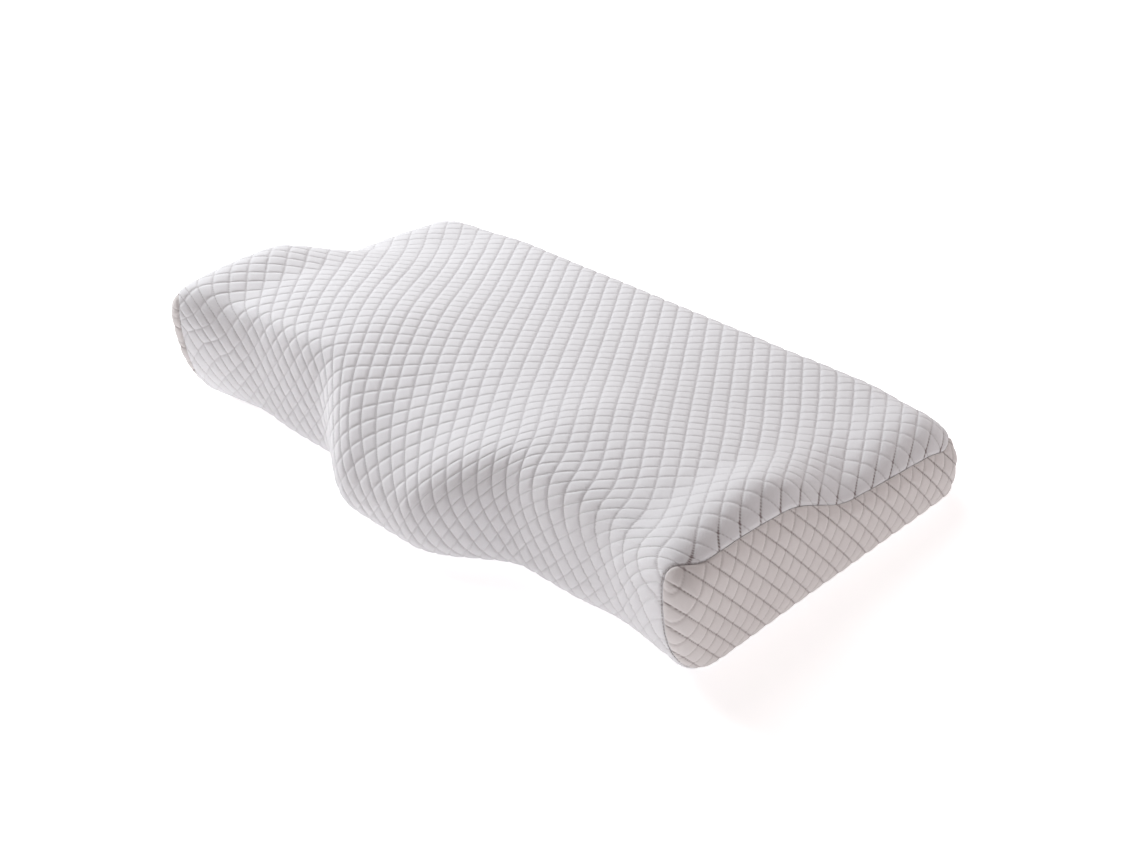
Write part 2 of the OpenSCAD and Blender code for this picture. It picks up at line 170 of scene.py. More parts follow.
def skin(x, s, over, depth=0.0):
    """The pillow's face at x and at share s of its depth: the top where over is true, else the underside."""
    x, s, over = np.broadcast_arrays(x, s, over)
    f, b = front_y(x), back_y(x)
    y = f + (b - f) * s
    nose, top, end = nose_z(x, y), open_top(x, y), HALF - np.abs(x)
    front_round = WING_ROUND + (LOBE_ROUND - WING_ROUND) * np.exp(-((x / LOBE_SPREAD) ** 2))
    share = (
        rise(end / END_ROUND, END_POWER)
        * rise((y - f) / front_round, FRONT_POWER)
        * rise((b - y) / ZIP_ROUND, ZIP_POWER)
    )
    wide = UNDER_FRONT + (UNDER_FRONT_END - UNDER_FRONT) * smooth(NOSE_END_FROM, HALF, np.abs(x))
    under = (
        rise(end / UNDER_END, UNDER_END_POWER)
        * rise((y - f) / wide, UNDER_POWER)
        * rise((b - y) / UNDER_BACK, UNDER_POWER)
    )
    z = np.where(over, nose + (top - nose) * share, nose * (1 - under))
    return sunk(x, y, z, top, depth)


def slot(x):
    past = smooth(SLOT_FROM, SLOT_TO, np.abs(x))
    return SLOT_CLOSED + (SLOT_HALF - SLOT_CLOSED) * (1 - past)


def hem(x, sign):
    """The cover's edge along the zip, above it (sign 1) or below it (-1)."""
    y = back_y(x) - SLOT_LEAN * slot(x) / SLOT_HALF * (sign > 0)
    return sunk(x, y, nose_z(x, y) + sign * slot(x), open_top(x, y), 0.0)


def seam_at(s, over):
    """How far along the length the end seam lies, on the top or the underside."""
    d = np.minimum(s, 1 - s) * WHOLE_DEPTH
    near = np.exp(-((d / CORNER_REACH) ** 2))
    extra = np.where(over, 0.0, UNDER_INSET) * (1 - near)
    return HALF - SEAM_INSET - CORNER_INSET * near - extra


# ------------------------------------------------------------------- meshing
def even(lines, count):
    """Each line of points, resampled to count even steps along its length."""
    step = np.linalg.norm(np.diff(lines, axis=1), axis=2)
    reach = np.concatenate([np.zeros((len(lines), 1)), np.cumsum(step, axis=1)], axis=1)
    out = np.empty((len(lines), count + 1, 3))
    for k, (along, line) in enumerate(zip(reach, lines)):
        want = np.linspace(0, along[-1], count + 1)
        for axis in range(3):
            out[k, :, axis] = np.interp(want, along, line[:, axis])
    return out


def normals(grid):
    """Unit normals of a grid of points."""
    n = np.cross(np.gradient(grid, axis=0), np.gradient(grid, axis=1))
    return n / np.maximum(np.linalg.norm(n, axis=2, keepdims=True), 1e-9)


def new_object(name, points, faces, uv=None, smooth_faces=True):
    """A mesh object from points in millimetres."""
    mesh = bpy.data.meshes.new(name)
    mesh.from_pydata((np.asarray(points) * MM).tolist(), [], faces)
    if uv is not None:
        layer = mesh.uv_layers.new(name="cells")
        corners = np.empty(len(mesh.loops), dtype=np.int32)
        mesh.loops.foreach_get("vertex_index", corners)
        layer.data.foreach_set("uv", np.asarray(uv, dtype=np.float32)[corners].ravel())
    mesh.polygons.foreach_set("use_smooth", [smooth_faces] * len(mesh.polygons))
    mesh.validate()
    mesh.update()
    made = bpy.data.objects.new(name, mesh)
    bpy.context.scene.collection.objects.link(made)
    return made


def merge(obj, distance=1e-7):
    """Joins the points that lie in one place."""
    import bmesh

    work = bmesh.new()
    work.from_mesh(obj.data)
    bmesh.ops.remove_doubles(work, verts=work.verts, dist=distance)
    bmesh.ops.dissolve_degenerate(work, edges=work.edges, dist=distance)
    work.to_mesh(obj.data)
    work.free()
    obj.data.update()
    return obj


def panel(name, outer, inner, step, uv, low_diagonal):
    """A closed panel of cloth: a fine outer grid, a coarse inner grid, and a rim all round.

    step is how many fine steps an inner face spans. low_diagonal picks how each outer face is cut.
    """
    rows, cols = outer.shape[0] - 1, outer.shape[1] - 1
    wide = cols + 1
    total = (rows + 1) * wide

    def at(i, j):
        return i * wide + j

    faces = []
    i, j = np.meshgrid(np.arange(rows), np.arange(cols), indexing="ij")
    a, b, c, d = at(i, j), at(i + 1, j), at(i + 1, j + 1), at(i, j + 1)
    cut = low_diagonal(i, j)
    first = np.where(cut[..., None], np.stack([a, b, d], -1), np.stack([a, b, c], -1))
    second = np.where(cut[..., None], np.stack([b, c, d], -1), np.stack([a, c, d], -1))
    faces += first.reshape(-1, 3).tolist() + second.reshape(-1, 3).tolist()

    used = {}
    points, coords = [outer.reshape(-1, 3)], [uv.reshape(-1, 2)]
    extra, extra_uv = [], []

    def inside(p, q):
        key = (p, q)
        if key not in used:
            used[key] = total + len(extra)
            extra.append(inner[p, q])
            extra_uv.append(uv[p, q])
        return used[key]

    for p in range(0, rows, step):
        for q in range(0, cols, step):
            p1, q1 = min(p + step, rows), min(q + step, cols)
            loop = [(k, q) for k in (range(p, p1) if q == 0 else [p])]
            loop += [(p1, k) for k in (range(q, q1) if p1 == rows else [q])]
            loop += [(k, q1) for k in (range(p1, p, -1) if q1 == cols else [p1])]
            loop += [(p, k) for k in (range(q1, q, -1) if p == 0 else [q1])]
            faces.append([inside(*key) for key in loop][::-1])
    border = [(k, 0) for k in range(rows)] + [(rows, k) for k in range(cols)]
    border += [(k, cols) for k in range(rows, 0, -1)] + [(0, k) for k in range(cols, 0, -1)]
    for (p, q), (r, t) in zip(border, border[1:] + border[:1]):
        faces.append([at(r, t), at(p, q), inside(p, q), inside(r, t)])
    points.append(np.array(extra))
    coords.append(np.array(extra_uv))
    return new_object(name, np.concatenate(points), faces, np.concatenate(coords))


def ripple(points, seed, wavelength, waves=14):
    """A soft unevenness from -1 to 1, the same on each run."""
    rng = np.random.default_rng(seed)
    total = np.zeros(points.shape[:-1])
    for _ in range(waves):
        direction = rng.normal(size=3)
        direction /= np.linalg.norm(direction)
        turn = 2 * math.pi / (wavelength * rng.uniform(0.7, 1.5))
        total += np.sin(points @ direction * turn + rng.uniform(0, 2 * math.pi))
    return total / math.sqrt(waves)


def cell_noise(across, down, seed):
    """One random number from -1 to 1 for each cell."""
    table = np.random.default_rng(seed).uniform(-1, 1, size=(128, 128))
    return table[np.floor(across).astype(int) % 128, np.floor(down).astype(int) % 128]


def cell_height(p, q, power, spread, seed):
    """Height of the quilting from 0 in the grooves to 1 on the cells, with cells that differ a little."""
    one, two = p + q, p - q
    f = np.abs(one - np.round(one)) * 2
    g = np.abs(two - np.round(two)) * 2
    fine = ((1 - (1 - f) ** power) * (1 - WEAK_DEPTH * (1 - g) ** power)) ** 0.5
    return fine * (1 + spread * cell_noise(one + 1e-6, two + 1e-6, seed))


# ----------------------------------------------------------------- materials
class Nodes:
    """Short calls for building one material's nodes."""

    def __init__(self, name):
        self.material = bpy.data.materials.new(name)
        self.material.use_nodes = True
        self.tree = self.material.node_tree
        self.shader = self.tree.nodes["Principled BSDF"]

    def link(self, value, socket):
        if isinstance(value, bpy.types.NodeSocket):
            self.tree.links.new(value, socket)
        else:
            socket.default_value = value

    def math(self, operation, *values):
        node = self.tree.nodes.new("ShaderNodeMath")
        node.operation = operation
        for value, socket in zip(values, node.inputs):
            self.link(value, socket)
        return node.outputs[0]

    def span(self, value, low, high, to_low=0.0, to_high=1.0, soft=True):
        node = self.tree.nodes.new("ShaderNodeMapRange")
        node.interpolation_type = "SMOOTHSTEP" if soft else "LINEAR"
        for socket, given in zip(node.inputs, (value, low, high, to_low, to_high)):
            self.link(given, socket)
        return node.outputs[0]

    def mix(self, share, one, two):
        node = self.tree.nodes.new("ShaderNodeMix")
        node.data_type = "RGBA"
        self.link(share, node.inputs[0])
        self.link(one, node.inputs[6])
        self.link(two, node.inputs[7])
        return node.outputs[2]

    def noise(self, vector, scale, detail=2.0, rough=0.5):
        node = self.tree.nodes.new("ShaderNodeTexNoise")
        self.link(vector, node.inputs["Vector"])
        self.link(scale, node.inputs["Scale"])
        self.link(detail, node.inputs["Detail"])
        self.link(rough, node.inputs["Roughness"])
        return node.outputs["Fac"]

    def place(self):
        return self.tree.nodes.new("ShaderNodeTexCoord").outputs["Object"]

    def apart(self, vector):
        node = self.tree.nodes.new("ShaderNodeSeparateXYZ")
        self.link(vector, node.inputs[0])
        return node.outputs

    def cells(self):
        node = self.tree.nodes.new("ShaderNodeUVMap")
        node.uv_map = "cells"
        return node.outputs[0]

    def bump(self, height, distance, strength=1.0, below=None):
        node = self.tree.nodes.new("ShaderNodeBump")
        self.link(height, node.inputs["Height"])
        self.link(distance, node.inputs["Distance"])
        self.link(strength, node.inputs["Strength"])
        if below is not None:
            self.link(below, node.inputs["Normal"])
        return node.outputs[0]

    def finish(self, colour=None, normal=None, roughness=None, **constants):
        if colour is not None:
            self.link(colour, self.shader.inputs["Base Color"])
        if normal is not None:
            self.link(normal, self.shader.inputs["Normal"])
        if roughness is not None:
            self.link(roughness, self.shader.inputs["Roughness"])
        for key, value in constants.items():
            self.shader.inputs[key.replace("_", " ")].default_value = value
        return self.material


def rgb(r, g, b):
    return (r, g, b, 1.0)


def quilted(name, base, groove, line_share, weak_share, crest_shade, knit_scale):
    """Quilted air-layer knit: rhombic cells, with tie stitches along the grooves between them. The grooves are coloured
    darker partly as darker yarn and partly as painted shade.
    """
    n = Nodes(name)
    p, q, _ = n.apart(n.cells())
    one, two = n.math("ADD", p, q), n.math("SUBTRACT", p, q)
    f, g = n.math("PINGPONG", one, 0.5), n.math("PINGPONG", two, 0.5)
    near = n.math("MINIMUM", f, g)
    # One groove family is drawn lighter than the other: painted shade from the key light's direction.
    strong, weak = n.span(f, 0.012, 0.075, 1.0, 0.0), n.span(g, 0.012, 0.07, weak_share, 0.0)
    first = n.math("LESS_THAN", f, g)
    run = n.math("MULTIPLY_ADD", n.math("SUBTRACT", two, one), first, one)
    stitch = n.math("SINE", n.math("MULTIPLY", run, 2 * math.pi * 6))
    tied = n.span(stitch, -0.6, 0.6, 0.45, 1.0)
    line = n.math("MAXIMUM", strong, weak)
    knot = n.span(n.math("ADD", f, g), 0.04, 0.16, 1.0, 0.0)
    place = n.place()
    wander = n.noise(place, 38.0, 3.0, 0.6)
    x = n.math("ABSOLUTE", n.apart(place)[0])
    # Where the cloth rolls over the crest towards the end seam, the grooves are darkened further: painted shade past
    # the crest.
    rolled = n.span(x, 0.278, 0.292, 0.0, 1.0)
    weight = n.math("MULTIPLY", line, tied)
    weight = n.math("MAXIMUM", weight, knot)
    share = n.math("ADD", line_share, n.math("MULTIPLY", rolled, crest_shade))
    weight = n.math("MULTIPLY", weight, share)
    weight = n.math("MULTIPLY", weight, n.span(wander, 0.3, 0.7, 0.75, 1.1, False))
    wales = n.math("SINE", n.math("MULTIPLY", p, 2 * math.pi * knit_scale))
    courses = n.math("SINE", n.math("MULTIPLY", q, 2 * math.pi * knit_scale * 1.2))
    knit = n.math("MULTIPLY", wales, courses)
    patches = n.noise(place, 9.0, 2.0, 0.5)
    lint = n.noise(place, 900.0, 2.0, 0.7)
    tone = n.mix(n.span(patches, 0.3, 0.7, 0.0, 1.0), rgb(*[c * 0.975 for c in base]), rgb(*base))
    tone = n.mix(n.span(lint, 0.25, 0.75, 0.10, 0.0, False), tone, rgb(*[c * 0.6 for c in base]))
    # Mixing towards the groove colour is partly darker tie-stitch yarn and partly painted shade in the grooves.
    tone = n.mix(weight, tone, rgb(*groove))
    height = n.math("ADD", n.math("MULTIPLY", knit, 0.16), n.math("MULTIPLY", lint, 0.35))
    valley = n.span(near, 0.0, 0.13, 0.0, 1.0)
    fine = n.bump(height, 0.0006, 0.55)
    ties = n.math("MULTIPLY", n.math("MULTIPLY", line, stitch), 0.25)
    deep = n.bump(n.math("SUBTRACT", valley, ties), 0.0006, 0.6, fine)
    rough = n.span(patches, 0.3, 0.7, 0.86, 0.95, False)
    return n.finish(
        tone, deep, rough, Specular_IOR_Level=0.25, Sheen_Weight=0.25, Sheen_Roughness=0.5
    )


def plain_knit(name, base, scale):
    """Fine plain jersey."""
    n = Nodes(name)
    place = n.place()
    x, y, z = n.apart(place)
    wales = n.math("SINE", n.math("MULTIPLY", x, scale))
    courses = n.math("SINE", n.math("MULTIPLY", n.math("ADD", y, z), scale * 1.35))
    knit = n.math("MULTIPLY", n.math("ADD", wales, 1.2), n.math("ADD", courses, 1.2))
    patches = n.noise(place, 14.0, 3.0, 0.6)
    lint = n.noise(place, 1100.0, 2.0, 0.7)
    tone = n.mix(n.span(patches, 0.3, 0.7), rgb(*[c * 0.94 for c in base]), rgb(*base))
    tone = n.mix(n.span(knit, 0.2, 3.0, 0.22, 0.0, False), tone, rgb(*[c * 0.7 for c in base]))
    height = n.math("ADD", n.math("MULTIPLY", knit, 0.3), n.math("MULTIPLY", lint, 0.5))
    return n.finish(
        tone,
        n.bump(height, 0.0004, 0.6),
        n.span(patches, 0.3, 0.7, 0.85, 0.95, False),
        Specular_IOR_Level=0.2,
        Sheen_Weight=0.2,
        Sheen_Roughness=0.5,
    )


def foam(name):
    """Slow-recovery foam: cream, with fine open cells."""
    n = Nodes(name)
    place = n.place()
    cell = n.tree.nodes.new("ShaderNodeTexVoronoi")
    n.link(place, cell.inputs["Vector"])
    n.link(700.0, cell.inputs["Scale"])
    pores = cell.outputs["Distance"]
    patches = n.noise(place, 8.0, 3.0, 0.6)
    tone = n.mix(n.span(patches, 0.3, 0.7), rgb(0.80, 0.70, 0.47), rgb(0.86, 0.79, 0.60))
    tone = n.mix(n.span(pores, 0.0, 0.5, 0.25, 0.0, False), tone, rgb(0.55, 0.45, 0.28))
    return n.finish(
        tone, n.bump(pores, 0.0005, 0.5), n.span(pores, 0.0, 0.6, 0.75, 0.95, False),
        Specular_IOR_Level=0.3,
    )


def thread(name, base):
    """Twisted sewing thread."""
    n = Nodes(name)
    place = n.place()
    x, y, z = n.apart(place)
    twist = n.math("SINE", n.math("MULTIPLY", n.math("ADD", n.math("ADD", x, y), z), 9000.0))
    fluff = n.noise(place, 700.0, 2.0, 0.6)
    tone = n.mix(n.span(fluff, 0.3, 0.7), rgb(*[c * 0.75 for c in base]), rgb(*base))
    return n.finish(
        tone, n.bump(twist, 0.0001, 0.7), n.span(fluff, 0.3, 0.7, 0.6, 0.8, False),
        Specular_IOR_Level=0.3, Sheen_Weight=0.2,
    )


def tape(name, base):
    """Woven herringbone tape."""
    n = Nodes(name)
    place = n.place()
    x, y, z = n.apart(place)
    zig = n.math("PINGPONG", n.math("MULTIPLY", z, 500.0), 1.0)
    twill = n.math("SINE", n.math("ADD", n.math("MULTIPLY", x, 6500.0), n.math("MULTIPLY", zig, 3.0)))
    dirt = n.noise(place, 60.0, 3.0, 0.6)
    tone = n.mix(n.span(twill, -1.0, 1.0, 0.0, 1.0), rgb(*[c * 0.82 for c in base]), rgb(*base))
    return n.finish(
        tone, n.bump(twill, 0.00015, 0.7), n.span(dirt, 0.3, 0.7, 0.75, 0.9, False),
        Specular_IOR_Level=0.25, Sheen_Weight=0.15,
    )


def nylon(name, base):
    """Drawn nylon filament."""
    n = Nodes(name)
    place = n.place()
    drawn = n.noise(place, 400.0, 2.0, 0.5)
    tone = n.mix(n.span(drawn, 0.3, 0.7), rgb(*[c * 0.93 for c in base]), rgb(*base))
    return n.finish(
        tone, n.bump(drawn, 0.00005, 0.5), n.span(drawn, 0.3, 0.7, 0.3, 0.45, False),
        Specular_IOR_Level=0.5, Subsurface_Weight=0.1, Subsurface_Scale=0.001,
    )


def metal(name, base):
    """Painted die-cast zinc, a little rubbed."""
    n = Nodes(name)
    place = n.place()
    rub = n.noise(place, 350.0, 4.0, 0.65)
    tone = n.mix(n.span(rub, 0.35, 0.7), rgb(*[c * 0.85 for c in base]), rgb(*base))
    return n.finish(
        tone, n.bump(rub, 0.00006, 0.5), n.span(rub, 0.3, 0.7, 0.28, 0.42, False),
        Metallic=0.85, Specular_IOR_Level=0.5,
    )


def floor_material(name):
    n = Nodes(name)
    place = n.place()
    faint = n.noise(place, 3.0, 2.0, 0.5)
    tone = n.mix(n.span(faint, 0.3, 0.7), rgb(0.93, 0.925, 0.93), rgb(0.95, 0.945, 0.95))
    return n.finish(
        tone,
        roughness=0.9,
        Specular_IOR_Level=0.1,
        Emission_Color=rgb(1.0, 0.995, 1.0),
        Emission_Strength=0.55,
    )


# LIT and SHADED are one white knit. SHADED, darker and warmer, is painted shade on the end panels, which face away from
# the key light. Their grooves are also drawn darker (share 0.75 against 0.30 on the top) as painted shade.
LIT = (0.70, 0.695, 0.715)
SHADED = (0.635, 0.60, 0.595)
# GROOVE is partly darker tie-stitch yarn and partly painted shade in the grooves.
GROOVE = (0.20, 0.160, 0.160)
finishes = {
    # On the top, the grooves darken further past the crest (0.8) as painted shade.
    "top": quilted("quilted_knit", LIT, GROOVE, 0.30, 0.3, 0.8, 14.0),
    "end": quilted("quilted_knit_end_painted_shade", SHADED, GROOVE, 0.75, 0.3, 0.0, 14.0),
    "under": plain_knit("underside_knit", (0.66, 0.655, 0.67), 5200.0),
    "liner": plain_knit("liner_knit", (0.78, 0.78, 0.77), 4200.0),
    "foam": foam("core_foam"),
    "thread": thread("seam_thread", (0.60, 0.57, 0.58)),
    "tape": tape("zip_tape_weave", (0.66, 0.66, 0.67)),
    "coil": nylon("zip_nylon", (0.80, 0.80, 0.80)),
    "metal": metal("zip_metal_paint", (0.74, 0.74, 0.75)),
}


def place_piece(obj, finish, slot_name, body, *nodes):
    obj.data.materials.clear()
    obj.data.materials.append(finishes[finish])
    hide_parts(*nodes)
    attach(obj, body)
    return obj


# ------------------------------------------------------------- quilted cover
def share_steps(count):
    """Steps from 0 to 1, closer at both ends."""
    return (1 - np.cos(np.linspace(0, math.pi, count + 1))) / 2


def main_rows(count, samples):
    """Lines over the main panel's face, each from the front seam to the zip at one place along the length.

    Gives each line's points with the numbers of their samples and how far along the line they lie, and
    the number of the middle sample. The last point falls between two samples.
    """
    a = np.linspace(-1, 1, count)[:, None]
    under = (FRONT_SEAM_S - 0.004) * (1 - np.linspace(0, 1, 40, endpoint=False)) ** 2
    over = share_steps(samples)[:-1]
    s = np.concatenate([under, over])[None, :]
    is_over = (np.arange(s.shape[1]) >= len(under))[None, :]
    face = skin(a * (seam_at(s, is_over) - SEAM_GAP), s, is_over)
    last = hem(a[:, 0] * (seam_at(1.0, True) - SEAM_GAP), 1)
    keep = face[:, :, 1] < last[:, None, 1]
    keep[:, : len(under) + samples // 2] = True
    lines = []
    for row, kept, end in zip(face, keep, last):
        line = np.concatenate([row[kept], end[None]])
        step = np.linalg.norm(np.diff(line, axis=0), axis=1)
        spots = np.arange(len(line), dtype=float)
        spots[-1] += step[-1] / step[-2] - 1
        lines.append((line, spots, np.concatenate([[0], np.cumsum(step)])))
    return lines, len(under) + samples // 2


def main_grid(along, across):
    """The main panel's face in even columns along the length and even rows forward from the zip."""
    count = 2 * along + 1
    lines, middle = main_rows(count, 2 * across)
    middle = middle + across // 2
    clear = int(round(ROW_CLEAR / HALF * (count - 1) / 2))
    share = np.linspace(1, 0, across + 1)
    whole = across / CELL_NODES * ROW_LENGTH
    grid = np.empty((count, across + 1, 3))
    for k, (line, spots, _) in enumerate(lines):
        _, near, reach = lines[min(max(k, clear), count - 1 - clear)]
        total = reach[-1]
        closed = SLOT_HALF - slot(line[-1, 0])
        back = share * whole + closed * smooth(0.0, 0.12, share)
        back = back + (total - whole - closed) * smooth(0.45, 1.0, share)
        want = np.interp(total - back, reach, near)
        stretch = (spots[-1] - middle) / (near[-1] - middle)
        want = np.where(want > middle, middle + (want - middle) * stretch, want)
        for axis in range(3):
            grid[k, :, axis] = np.interp(want, spots, line[:, axis])
    return grid


def at_nodes(grid, i, j):
    """The points of a fine grid at fractional places along it."""
    i0 = np.minimum(i.astype(int), grid.shape[0] - 2)
    a = (i - i0)[..., None]
    return (1 - a) * grid[i0, j] + a * grid[i0 + 1, j]


def pulled(grid, along):
    """The face with its columns where the quilting lies once the cloth is pulled over the core.

    They slant a little, and drift sideways down the neck edge. Gives the points, and how far each node
    near an end seam had to move from its column to stay inside the panel, in cells.
    """
    across = grid.shape[1] - 1
    i, j = np.meshgrid(np.arange(along + 1.0), np.arange(across + 1), indexing="ij")
    half = HALF - SEAM_INSET
    column = 2 * half * CELL_NODES / along
    straight = (2 * i / along - 1) * half
    slant = -PULL_SLANT * (0.5 - j / across) * 2 * column
    nose = grid[..., 1].argmin(axis=1)[:, None]
    below = np.arange(across + 1)[None, :] <= nose
    depths = (grid[..., 1] - np.take_along_axis(grid[..., 1], nose, 1)) * ~below
    lows = (np.take_along_axis(grid[..., 2], nose, 1) - grid[..., 2]) * below
    depths, lows = depths[..., None], lows[..., None]
    x = straight
    for _ in range(25):
        place = np.clip((x / half + 1) / 2, 0, 1) * (len(grid) - 1)
        depth = at_nodes(depths, place, j)[..., 0]
        low = DRIFT_LOW * at_nodes(lows, place, j)[..., 0]
        drift = DRIFT_START + DRIFT_RISE * smooth(20, 140, x) - DRIFT_FALL * smooth(220, 300, x)
        full = straight + slant - column * drift * (np.exp(-depth / DRIFT_DEPTH) + low)
        x = 0.5 * x + 0.5 * full
    held = straight + (x - straight) * (1 - smooth(1 - 2 * PULL_FADE * column / (2 * half), 1, np.abs(straight / half)))
    held = np.clip(held, -half, half)
    place = (held / half + 1) / 2 * (len(grid) - 1)
    return at_nodes(grid, place, j), (held - x) / column


def edge_roll(points, distance):
    """How far the cloth dips at a seam, against the distance from it: more where it folds round the corners."""
    fold = 1 - smooth(-150, -118, points[..., 1]) * (1 - smooth(135, 165, points[..., 1]))
    return -(SEAM_SINK + SEAM_FOLD * fold) * (1 - np.clip(distance / SEAM_ROLL, 0, 1)) ** 2


def build_cover_top():
    along, across = CELLS_ALONG * CELL_NODES, CELLS_ACROSS * CELL_NODES
    base, moved = pulled(main_grid(along, across), along)
    n = normals(base)
    i, j = np.meshgrid(np.arange(along + 1), np.arange(across + 1), indexing="ij")
    p, q = (i + NODE_START[0]) / CELL_NODES + moved, (j + NODE_START[1]) / CELL_NODES
    du, dv = 606.0 / along, 470.0 / across
    edge = np.minimum(np.minimum(i, along - i) * du, np.minimum(j, across - j) * dv)
    height = PUFF * (cell_height(p, q, 3.2, 0.07, 3) - PUFF_MEAN)
    flat = np.clip(edge / 7.0, 0, 1)
    height = height * (0.35 + 0.65 * flat) + edge_roll(base, edge) + 0.14 * ripple(base, 5, 70.0)
    outer = base + n * height[..., None]
    inner = base - n * (COVER_THICKNESS - 0.3)

    def diagonal(i, j):
        return (i + j + 1 + sum(NODE_START)) % CELL_NODES == 0

    made = panel("cover_top_quilted", outer, inner, 5, np.stack([p, q], -1), diagonal)
    place_piece(made, "top", "quilted_knit", "pillow", "cover_top")
    return made


def end_grid(columns, rows):
    """The right end panel's face: columns across the depth, rows from the lower seam round to the upper."""
    s = share_steps(600)
    rims = [skin(seam_at(s, over) + SEAM_GAP, s, over) for over in (True, False)]
    step = np.maximum(*[np.linalg.norm(np.diff(rim, axis=0), axis=1) for rim in rims])
    reach = np.concatenate([[0], np.cumsum(step)])
    s = np.interp(np.linspace(0, reach[-1], columns + 1), reach, s)[:, None]
    out = np.linspace(0, 1, 120)[None, :] ** 2.2
    upper, lower = [
        even(skin(HALF - (HALF - seam_at(s, over) - SEAM_GAP) * out, s, over), rows)
        for over in (True, False)
    ]
    return np.concatenate([lower[:, :0:-1], upper], axis=1)


def unrolled(grid):
    """Flat coordinates of an end panel, in millimetres: across the depth, and up."""
    middle = grid.shape[1] // 2
    n = normals(grid)[..., 1:]
    n[0] = (n[1] + n[1][::-1]) / 2
    n[-1] = (n[-2] + n[-2][::-1]) / 2
    n = n / np.maximum(np.linalg.norm(n, axis=2, keepdims=True), 0.2)
    flat = grid[..., 1:].copy()
    for order in (range(middle + 1, grid.shape[1]), range(middle - 1, -1, -1)):
        before = middle
        for k in order:
            move = grid[:, k] - grid[:, before]
            flat[:, k] = flat[:, before] + move[:, 1:] + np.abs(move[:, :1]) * n[:, k]
            before = k
    return flat


def build_end_panels():
    base = end_grid(END_COLUMNS, END_ROWS)
    n = normals(base)
    n[0] = n[1]
    n[-1] = n[-2]
    y, z = base[..., 1], base[..., 2]
    p, q = y / END_CELL_Y + z * END_SLANT, z / END_CELL_Z
    from_seam = np.cumsum(
        np.concatenate(
            [np.zeros((len(base), 1)), np.linalg.norm(np.diff(base, axis=1), axis=2)], axis=1
        ),
        axis=1,
    )
    edge = np.minimum(from_seam, from_seam[:, -1:] - from_seam)
    height = END_PUFF * (cell_height(p, q, 2.6, 0.06, 8) - PUFF_MEAN)
    height = height * (0.4 + 0.6 * np.clip(edge / 6.0, 0, 1)) + edge_roll(base, edge)
    height = height + 0.14 * ripple(base, 9, 60.0)
    # both halves of the first and last columns are the same points
    for k in (0, -1):
        height[k] = (height[k] + height[k][::-1]) / 2
        n[k] = (n[k] + n[k][::-1]) / 2
        n[k] /= np.linalg.norm(n[k], axis=1, keepdims=True)
    outer = base + n * height[..., None]
    inner = base - n * (COVER_THICKNESS - 0.3)
    outer[0] = (outer[0] + outer[0][::-1]) / 2
    outer[-1] = (outer[-1] + outer[-1][::-1]) / 2
    inner[0] = (inner[0] + inner[0][::-1]) / 2
    inner[-1] = (inner[-1] + inner[-1][::-1]) / 2

    def diagonal(i, j):
        return (i + j) % 2 == 0

    for name, node, sign in (
        ("end_panel_left_quilted", "end_panel_left", -1),
        ("end_panel_right_quilted", "end_panel_right", 1),
    ):
        turn = np.array([sign, 1, 1])
        if sign > 0:
            made = closed_end(name, outer * turn, inner * turn, np.stack([p, q], -1), diagonal)
        else:
            made = closed_end(
                name, (outer * turn)[::-1], (inner * turn)[::-1], np.stack([p, q], -1)[::-1], diagonal
            )
        place_piece(made, "end", "quilted_knit", "pillow", node)


def closed_end(name, outer, inner, uv, diagonal):
    """An end panel, whose first and last columns are folded shut and whose rim runs round the seam."""
    rows, cols = outer.shape[0] - 1, outer.shape[1] - 1
    wide = cols + 1
    i, j = np.meshgrid(np.arange(rows), np.arange(cols), indexing="ij")
    a, b, c, d = i * wide + j, (i + 1) * wide + j, (i + 1) * wide + j + 1, i * wide + j + 1
    cut = diagonal(i, j)
    first = np.where(cut[..., None], np.stack([a, b, d], -1), np.stack([a, b, c], -1))
    second = np.where(cut[..., None], np.stack([b, c, d], -1), np.stack([a, c, d], -1))
    faces = first.reshape(-1, 3).tolist() + second.reshape(-1, 3).tolist()
    total = outer.shape[0] * outer.shape[1]
    inner_index = {}
    extra, extra_uv = [], []

    def inside(p, q):
        if (p, q) not in inner_index:
            inner_index[p, q] = total + len(extra)
            extra.append(inner[p, q])
            extra_uv.append(uv[p, q])
        return inner_index[p, q]

    step = 4
    for p in range(0, rows, step):
        for q in range(0, cols, step):
            p1, q1 = min(p + step, rows), min(q + step, cols)
            loop = [(k, q) for k in (range(p, p1) if q == 0 else [p])]
            loop += [(p1, q)]
            loop += [(k, q1) for k in (range(p1, p, -1) if q1 == cols else [p1])]
            loop += [(p, q1)]
            faces.append([inside(*key) for key in loop][::-1])
    for p in range(rows):
        faces.append([p * wide, inside(p, 0), inside(p + 1, 0), (p + 1) * wide][::-1])
        faces.append(
            [p * wide + cols, (p + 1) * wide + cols, inside(p + 1, cols), inside(p, cols)][::-1]
        )
    points = np.concatenate([outer.reshape(-1, 3), np.array(extra)])
    coords = np.concatenate([uv.reshape(-1, 2), np.array(extra_uv)])
    return merge(new_object(name, points, faces, coords), 2e-6)


build_cover_top()
build_end_panels()


